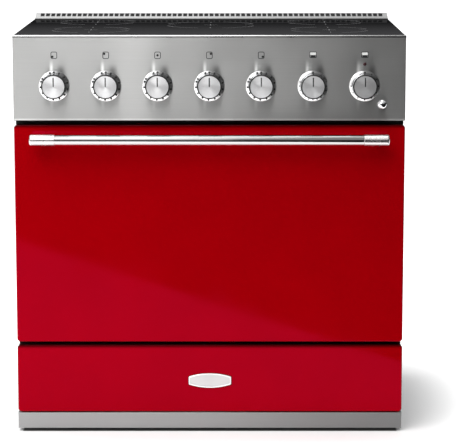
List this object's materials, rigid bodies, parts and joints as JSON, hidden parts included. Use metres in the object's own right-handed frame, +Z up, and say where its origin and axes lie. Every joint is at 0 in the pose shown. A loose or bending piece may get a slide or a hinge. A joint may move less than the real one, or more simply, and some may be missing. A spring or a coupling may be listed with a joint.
{
  "type": "induction range",
  "caption": "Free-standing induction range with a wide drop-down oven door, bar handle, storage drawer, rotary knobs on a steel panel and a slotted rear vent.",
  "frame": {"origin": "on the floor, under the middle of the overall width and depth", "axes": "+X to the right seen from the front, -Y towards the user, +Z up"},
  "size_m": [0.9, 0.648, 0.9425],
  "materials": {
    "red_enamel": "glossy enamel",
    "brushed_steel": "brushed along its length",
    "polished_chrome": "polished",
    "satin_steel": "satin",
    "spun_aluminium": "spun face",
    "black_glass": "polished black glass-ceramic",
    "charcoal_coat": "satin powder coat",
    "zinc_steel": "zinc coated",
    "cavity_enamel": "speckled oven enamel",
    "bright_wire": "plated wire",
    "heater_steel": "heat-darkened",
    "fan_steel": "stamped",
    "motor_steel": "plain",
    "mineral_wool": "matt fibre",
    "seal_rubber": "matt",
    "black_plastic": "moulded",
    "coil_winding": "wound wire",
    "heat_sink": "extruded",
    "lamp_glass": "frosted dome",
    "red_lens": "moulded lens"
  },
  "bodies": {
    "cabinet": {"base_pan": "zinc_steel", "side_panel_left": "charcoal_coat", "side_panel_right": "charcoal_coat", "back_panel": "zinc_steel", "back_screws": "zinc_steel", "front_frame": "cavity_enamel", "hinge_receivers": "zinc_steel", "top_deck": "zinc_steel", "oven_liner": "cavity_enamel", "oven_insulation": "mineral_wool", "fan_motors": "motor_steel", "ring_elements": "heater_steel", "fan_baffle": "cavity_enamel", "oven_lamp": "lamp_glass", "grill_element": "heater_steel", "shelf_racks": "bright_wire", "oven_shelf_lower": "bright_wire", "oven_shelf_upper": "bright_wire", "door_seal": "seal_rubber", "control_panel": "brushed_steel", "knob_bezels": "polished_chrome", "control_switches": "black_plastic", "indicator_lens": "red_lens", "light_switch": "black_plastic", "hob_trim": "brushed_steel", "hob_glass": "black_glass", "rear_vent": "brushed_steel", "coil_tray": "zinc_steel", "induction_coils": "coil_winding", "power_modules": "heat_sink", "cooling_fan_housing": "black_plastic", "terminal_box": "black_plastic", "plinth": "brushed_steel", "front_feet": "zinc_steel", "roller_brackets": "zinc_steel", "drawer_rails": "zinc_steel"},
    "door": {"door_skin": "red_enamel", "door_liner": "cavity_enamel", "door_screws": "zinc_steel", "door_insulation": "mineral_wool", "door_hinges": "zinc_steel", "handle_bar": "satin_steel", "handle_ends": "polished_chrome"},
    "drawer": {"drawer_front": "red_enamel", "drawer_box": "zinc_steel", "drawer_slides": "zinc_steel", "badge": "polished_chrome"},
    "knob_1": {"knob_1": "spun_aluminium"},
    "knob_2": {"knob_2": "spun_aluminium"},
    "knob_3": {"knob_3": "spun_aluminium"},
    "knob_4": {"knob_4": "spun_aluminium"},
    "knob_5": {"knob_5": "spun_aluminium"},
    "knob_6": {"knob_6": "spun_aluminium"},
    "knob_7": {"knob_7": "spun_aluminium"},
    "light_button": {"light_button": "polished_chrome"},
    "oven_fan_left": {"oven_fan_left": "fan_steel"},
    "oven_fan_right": {"oven_fan_right": "fan_steel"},
    "cooling_fan": {"cooling_fan": "black_plastic"},
    "roller_left": {"roller_left": "black_plastic"},
    "roller_right": {"roller_right": "black_plastic"}
  },
  "joints": [
    {"name": "door_hinge", "type": "hinge", "parent": "cabinet", "child": "door", "pos_m": [0, -0.265, 0.2295], "axis": [1, 0, 0], "range_deg": [0, 90]},
    {"name": "drawer_slide", "type": "slide", "parent": "cabinet", "child": "drawer", "axis": [0, -1, 0], "range_m": [0, 0.4]},
    {"name": "knob_1_turn", "type": "hinge", "parent": "cabinet", "child": "knob_1", "pos_m": [-0.3555, -0.276, 0.814], "axis": [0, 1, 0], "range_deg": [0, 302]},
    {"name": "knob_2_turn", "type": "hinge", "parent": "cabinet", "child": "knob_2", "pos_m": [-0.237, -0.276, 0.814], "axis": [0, 1, 0], "range_deg": [0, 302]},
    {"name": "knob_3_turn", "type": "hinge", "parent": "cabinet", "child": "knob_3", "pos_m": [-0.1185, -0.276, 0.814], "axis": [0, 1, 0], "range_deg": [0, 302]},
    {"name": "knob_4_turn", "type": "hinge", "parent": "cabinet", "child": "knob_4", "pos_m": [0, -0.276, 0.814], "axis": [0, 1, 0], "range_deg": [0, 302]},
    {"name": "knob_5_turn", "type": "hinge", "parent": "cabinet", "child": "knob_5", "pos_m": [0.1185, -0.276, 0.814], "axis": [0, 1, 0], "range_deg": [0, 302]},
    {"name": "knob_6_turn", "type": "hinge", "parent": "cabinet", "child": "knob_6", "pos_m": [0.237, -0.276, 0.814], "axis": [0, 1, 0], "range_deg": [0, 300]},
    {"name": "knob_7_turn", "type": "hinge", "parent": "cabinet", "child": "knob_7", "pos_m": [0.3555, -0.276, 0.814], "axis": [0, 1, 0], "range_deg": [0, 270]},
    {"name": "light_button_press", "type": "slide", "parent": "cabinet", "child": "light_button", "axis": [0, 1, 0], "range_m": [0, 0.0025], "stiffness_N_per_m": 400},
    {"name": "oven_fan_left_spin", "type": "hinge", "parent": "cabinet", "child": "oven_fan_left", "pos_m": [-0.17, 0.2, 0.45525], "axis": [0, 1, 0], "continuous": true},
    {"name": "oven_fan_right_spin", "type": "hinge", "parent": "cabinet", "child": "oven_fan_right", "pos_m": [0.17, 0.2, 0.45525], "axis": [0, 1, 0], "continuous": true},
    {"name": "cooling_fan_spin", "type": "hinge", "parent": "cabinet", "child": "cooling_fan", "pos_m": [0, 0.21, 0.752], "axis": [0, 1, 0], "continuous": true},
    {"name": "roller_left_spin", "type": "hinge", "parent": "cabinet", "child": "roller_left", "pos_m": [-0.3775, 0.264, 0.02], "axis": [1, 0, 0], "continuous": true},
    {"name": "roller_right_spin", "type": "hinge", "parent": "cabinet", "child": "roller_right", "pos_m": [0.3775, 0.264, 0.02], "axis": [1, 0, 0], "continuous": true}
  ]
}
